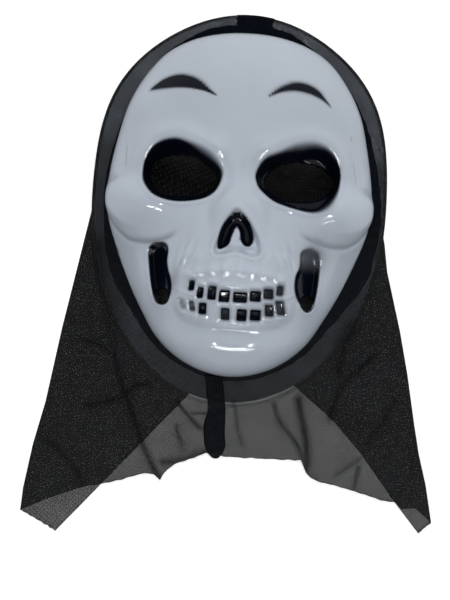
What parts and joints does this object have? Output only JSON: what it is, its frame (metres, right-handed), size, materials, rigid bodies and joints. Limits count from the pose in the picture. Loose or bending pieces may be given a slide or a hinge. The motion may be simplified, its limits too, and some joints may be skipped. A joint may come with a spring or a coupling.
{
  "type": "hooded skull face mask",
  "caption": "Rigid moulded skull face mask with a wrapped black gauze hood and free skirt, lying on its back, with mesh-backed eye openings and an elastic head strap.",
  "frame": {"origin": "on the surface the mask lies on, under its middle line, 90 mm above the lower edge of the rim", "axes": "+X to the viewer's right, +Y towards the crown, +Z out of the face"},
  "size_m": [0.2876, 0.3683, 0.0865],
  "materials": {
    "white_plastic": "gloss",
    "black_gauze": "matte open weave",
    "dark_hem": "matte",
    "eye_mesh": "matte fine mesh",
    "elastic": "matte ribbed",
    "staple_steel": "satin"
  },
  "bodies": {
    "mask": {"face_shell": "white_plastic", "eye_mesh_left": "eye_mesh", "eye_mesh_right": "eye_mesh", "vent_mesh_left": "eye_mesh", "vent_mesh_right": "eye_mesh", "rim_band": "black_gauze", "rim_hem": "dark_hem", "crown_seam": "dark_hem", "hood_back_panel": "black_gauze", "back_seam": "dark_hem", "hood_side_left": "black_gauze", "hood_side_right": "black_gauze", "strap_end_left": "elastic", "strap_end_right": "elastic", "strap_staple_left": "staple_steel", "strap_staple_right": "staple_steel"},
    "strap": {"elastic_strap": "elastic"},
    "skirt": {"skirt_front_left": "black_gauze", "skirt_front_right": "black_gauze", "skirt_back_left": "black_gauze", "skirt_back_right": "black_gauze", "chin_seam_tab": "dark_hem"}
  },
  "joints": [
    {"name": "strap_swing", "type": "hinge", "parent": "mask", "child": "strap", "pos_m": [0, 0.052, 0.00315], "axis": [-1, 0, 0], "range_deg": [0, 60]},
    {"name": "skirt_fold", "type": "hinge", "parent": "mask", "child": "skirt", "pos_m": [0, -0.095, 0.002], "axis": [-1, 0, 0], "range_deg": [0, 90]}
  ]
}
